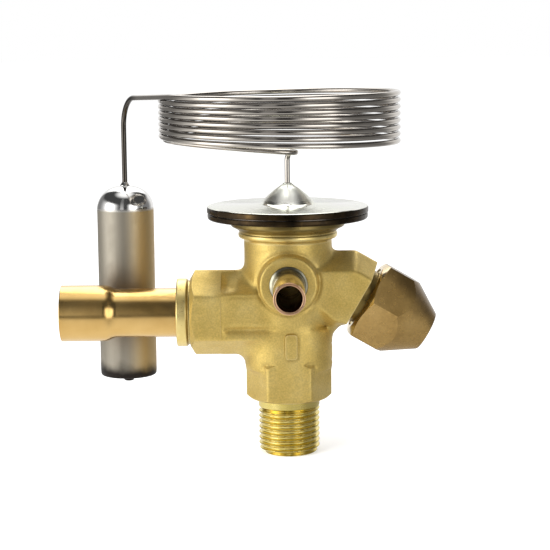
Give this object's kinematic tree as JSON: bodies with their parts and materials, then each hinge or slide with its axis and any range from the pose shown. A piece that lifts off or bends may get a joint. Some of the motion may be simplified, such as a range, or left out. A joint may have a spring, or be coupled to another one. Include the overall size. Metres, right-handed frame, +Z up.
{
  "type": "expansion valve with a sensing bulb",
  "caption": "Angle refrigerant expansion valve with diaphragm element, coiled capillary tube, sensing bulb, solder outlet, equalizer tube and capped setting spindle.",
  "frame": {"origin": "on the main axis, in the shoulder plane where the inlet thread meets its hexagon", "axes": "+Z up the main axis to the diaphragm element, -X out of the outlet tube, -Y out of the equalizer tube; the inlet thread points to -Z"},
  "size_m": [0.0971, 0.0652, 0.0939],
  "materials": {
    "forged_brass": "sand-blasted, satin",
    "turned_brass": "turned, bright",
    "cap_brass": "tumbled, tarnished brown",
    "copper": "drawn copper tube, golden tarnish",
    "soft_copper": "annealed copper ring",
    "silver_braze": "silver braze, satin",
    "plate_steel": "bright plated steel",
    "dark_steel": "heat-darkened edge",
    "stainless": "bright drawn",
    "bulb_steel": "polished dome, satin barrel",
    "spring_steel": "plain",
    "packing": "plain",
    "seal_rubber": "matt"
  },
  "bodies": {
    "valve": {"valve_body": "forged_brass", "outlet_tube": "copper", "equalizer_tube": "copper", "equalizer_braze": "silver_braze", "spindle_washer": "turned_brass", "spindle_packing": "packing", "spindle_gland_nut": "turned_brass", "pin_gland": "turned_brass", "pin_seal": "seal_rubber", "element_base": "dark_steel", "diaphragm": "stainless", "element_cover": "plate_steel", "orifice_body": "turned_brass", "cone_spring": "spring_steel", "spring_retainer": "turned_brass", "strainer": "stainless", "sensing_bulb": "bulb_steel", "capillary_tube": "stainless"},
    "cap_seal_ring": {"cap_seal": "soft_copper"},
    "cap": {"spindle_cap": "cap_brass"},
    "spindle": {"setting_spindle": "turned_brass"},
    "gear": {"adjusting_gear": "turned_brass"},
    "seat": {"spring_seat": "turned_brass", "superheat_spring": "spring_steel"},
    "pin": {"thrust_plate": "stainless", "push_pin": "stainless", "valve_cone": "stainless"}
  },
  "joints": [
    {"name": "cap_travel", "type": "slide", "parent": "valve", "child": "cap_seal_ring", "axis": [0.866, 0, -0.5], "range_m": [0, 0.0075]},
    {"name": "cap_turn", "type": "hinge", "parent": "cap_seal_ring", "child": "cap", "pos_m": [0, 0, 0.0375], "axis": [0.866, 0, -0.5], "range_deg": [0, 1800]},
    {"name": "spindle_turn", "type": "hinge", "parent": "valve", "child": "spindle", "pos_m": [0, 0, 0.0375], "axis": [0.866, 0, -0.5], "range_deg": [-360, 360]},
    {"name": "gear_turn", "type": "hinge", "parent": "valve", "child": "gear", "pos_m": [0, 0, 0.0375], "axis": [0, 0, 1], "range_deg": [-180, 180]},
    {"name": "seat_lift", "type": "slide", "parent": "valve", "child": "seat", "axis": [0, 0, 1], "range_m": [-0.00075, 0.00075], "deforming": ["superheat_spring"]},
    {"name": "valve_stroke", "type": "slide", "parent": "valve", "child": "pin", "axis": [0, 0, -1], "range_m": [0, 0.0006], "stiffness_N_per_m": 400, "springref_m": -0.0008, "deforming": ["cone_spring"]}
  ],
  "couplings": [
    {"joint": "cap_travel", "follows": "cap_turn", "m_per_rad": 0.00022457},
    {"joint": "gear_turn", "follows": "seat_lift", "rad_per_m": 4188.8},
    {"joint": "spindle_turn", "follows": "seat_lift", "rad_per_m": 8377.6}
  ]
}
